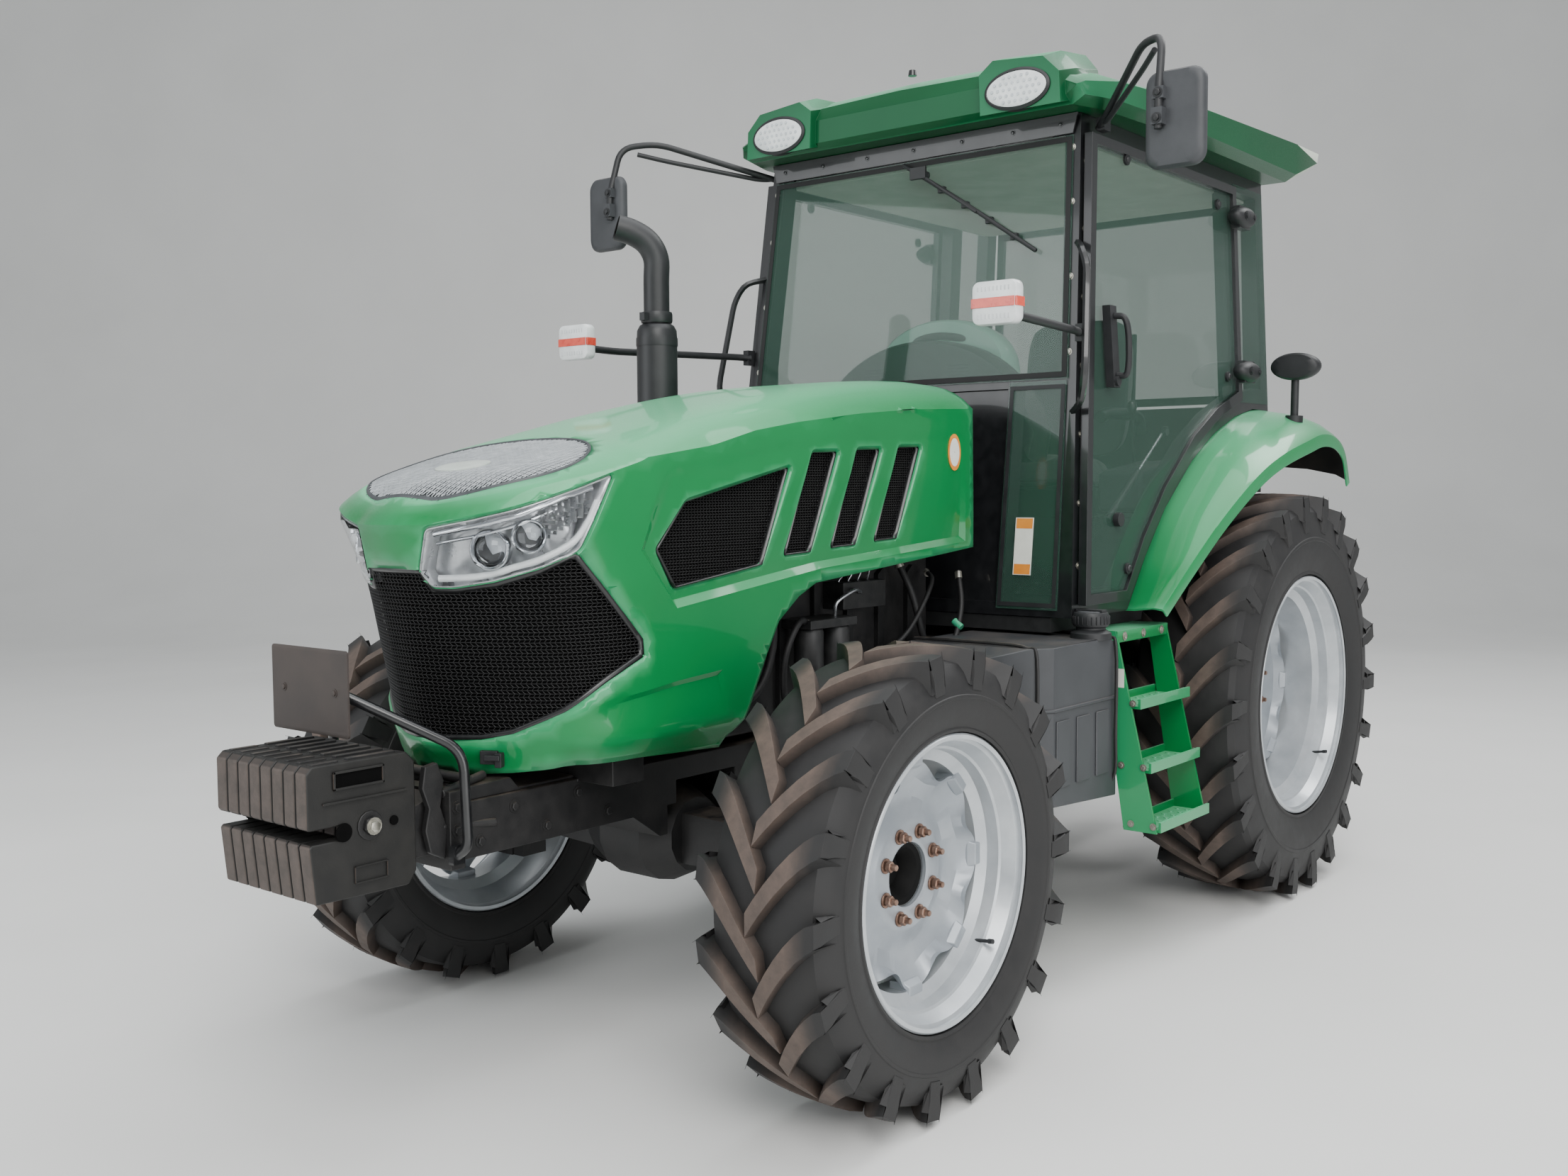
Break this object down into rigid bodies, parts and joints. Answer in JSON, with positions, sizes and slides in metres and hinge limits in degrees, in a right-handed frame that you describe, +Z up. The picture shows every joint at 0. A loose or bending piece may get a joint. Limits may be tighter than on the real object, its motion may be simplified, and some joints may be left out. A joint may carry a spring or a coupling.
{
  "type": "farm tractor",
  "caption": "Four-wheel-drive farm tractor with closed cab, opening hood, doors and rear window, steered front wheels, front ballast and rear lift linkage.",
  "frame": {"origin": "on the ground under the middle of the length and width", "axes": "+X forward, +Y to the tractor's left, +Z up"},
  "size_m": [4.449, 2.228, 2.718],
  "materials": {
    "green_paint": "gloss",
    "black_paint": "satin",
    "black_cast": "satin",
    "rim_silver": "satin",
    "tyre_rubber": "matte",
    "tinted_glass": "clear",
    "lamp_clear": "clear",
    "black_mesh": "matte",
    "grey_plastic": "matte",
    "dark_steel": "satin",
    "steel_rod": "polished",
    "seat_fabric": "matte"
  },
  "bodies": {
    "chassis": {"ladder_left": "green_paint", "fender_left": "green_paint", "front_quarter_glass_left": "tinted_glass", "rear_side_glass_left": "tinted_glass", "mirror_left": "grey_plastic", "marker_lamp_left": "grey_plastic", "rear_lamp_left": "grey_plastic", "ladder_right": "green_paint", "fender_right": "green_paint", "front_quarter_glass_right": "tinted_glass", "rear_side_glass_right": "tinted_glass", "mirror_right": "grey_plastic", "marker_lamp_right": "grey_plastic", "rear_lamp_right": "grey_plastic", "front_frame": "black_cast", "engine_block": "black_cast", "gearbox_housing": "black_cast", "rear_axle_housing": "black_cast", "front_axle_beam": "black_cast", "front_weights": "black_paint", "number_plate": "black_paint", "exhaust_stack": "dark_steel", "fuel_tank": "grey_plastic", "battery_box": "grey_plastic", "cab_tub": "black_paint", "cab_frame": "black_paint", "dashboard": "grey_plastic", "steering_wheel": "grey_plastic", "seat": "seat_fabric", "windscreen": "tinted_glass", "roof_panel": "green_paint"},
    "hood": {"hood_shell": "green_paint", "front_grille": "black_mesh", "headlamp_left": "lamp_clear", "headlamp_right": "lamp_clear", "side_screen_left": "black_mesh", "side_screen_right": "black_mesh"},
    "door_left": {"door_frame_left": "black_paint", "door_glass_left": "tinted_glass"},
    "door_right": {"door_frame_right": "black_paint", "door_glass_right": "tinted_glass"},
    "rear_window": {"rear_window_frame": "black_paint", "rear_window_glass": "tinted_glass"},
    "steering_left": {"knuckle_left": "black_cast"},
    "steering_right": {"knuckle_right": "black_cast"},
    "tie_rod": {"tie_rod": "steel_rod"},
    "front_wheel_left": {"front_rim_left": "rim_silver", "front_tyre_left": "tyre_rubber"},
    "front_wheel_right": {"front_rim_right": "rim_silver", "front_tyre_right": "tyre_rubber"},
    "rear_wheel_left": {"rear_rim_left": "rim_silver", "rear_tyre_left": "tyre_rubber"},
    "rear_wheel_right": {"rear_rim_right": "rim_silver", "rear_tyre_right": "tyre_rubber"},
    "lower_links": {"lower_link_left": "black_cast", "lower_link_right": "black_cast"},
    "lift_arms": {"lift_arms": "black_cast"},
    "lift_rods": {"lift_rod_left": "black_cast", "lift_rod_right": "black_cast"}
  },
  "joints": [
    {"name": "steer_left", "type": "hinge", "parent": "chassis", "child": "steering_left", "pos_m": [1.0905, 0.62, 0.53], "axis": [0, 0, 1], "range_deg": [-35, 35]},
    {"name": "steer_right", "type": "hinge", "parent": "chassis", "child": "steering_right", "pos_m": [1.0905, -0.62, 0.53], "axis": [0, 0, 1], "range_deg": [-35, 35]},
    {"name": "tie_rod_slide", "type": "slide", "parent": "chassis", "child": "tie_rod", "axis": [0, 1, 0], "range_m": [-0.095, 0.095]},
    {"name": "front_wheel_left_spin", "type": "hinge", "parent": "steering_left", "child": "front_wheel_left", "pos_m": [1.0905, 0.775, 0.53], "axis": [0, 1, 0], "continuous": true},
    {"name": "front_wheel_right_spin", "type": "hinge", "parent": "steering_right", "child": "front_wheel_right", "pos_m": [1.0905, -0.775, 0.53], "axis": [0, 1, 0], "continuous": true},
    {"name": "rear_wheel_left_spin", "type": "hinge", "parent": "chassis", "child": "rear_wheel_left", "pos_m": [-1.2095, 0.716, 0.69], "axis": [0, 1, 0], "continuous": true},
    {"name": "rear_wheel_right_spin", "type": "hinge", "parent": "chassis", "child": "rear_wheel_right", "pos_m": [-1.2095, -0.716, 0.69], "axis": [0, 1, 0], "continuous": true},
    {"name": "hood_lift", "type": "hinge", "parent": "chassis", "child": "hood", "pos_m": [0.2605, 0, 1.68], "axis": [0, -1, 0], "range_deg": [0, 50]},
    {"name": "door_left_swing", "type": "hinge", "parent": "chassis", "child": "door_left", "pos_m": [-1.2215, 0.65237, 2], "axis": [0, -0.0485, 0.9988], "range_deg": [0, 75]},
    {"name": "door_right_swing", "type": "hinge", "parent": "chassis", "child": "door_right", "pos_m": [-1.2215, -0.65237, 2], "axis": [0, -0.0485, -0.9988], "range_deg": [0, 75]},
    {"name": "rear_window_lift", "type": "hinge", "parent": "chassis", "child": "rear_window", "pos_m": [-1.5315, 0, 2.446], "axis": [0, 1, 0], "range_deg": [0, 40]},
    {"name": "lower_links_lift", "type": "hinge", "parent": "chassis", "child": "lower_links", "pos_m": [-1.3595, 0, 0.43], "axis": [0, 1, 0], "range_deg": [-12, 33]},
    {"name": "lift_arms_turn", "type": "hinge", "parent": "chassis", "child": "lift_arms", "pos_m": [-1.5795, 0, 0.905], "axis": [0, 1, 0], "range_deg": [-19, 52]},
    {"name": "lift_rods_hang", "type": "hinge", "parent": "lift_arms", "child": "lift_rods", "pos_m": [-1.8895, 0, 0.985], "axis": [0, 1, 0], "range_deg": [-43, 16]}
  ],
  "couplings": [
    {"joint": "steer_right", "follows": "steer_left", "ratio": 1},
    {"joint": "tie_rod_slide", "follows": "steer_left", "m_per_rad": -0.15},
    {"joint": "lift_arms_turn", "follows": "lower_links_lift", "ratio": 1.56},
    {"joint": "lift_rods_hang", "follows": "lower_links_lift", "ratio": -1.28}
  ]
}
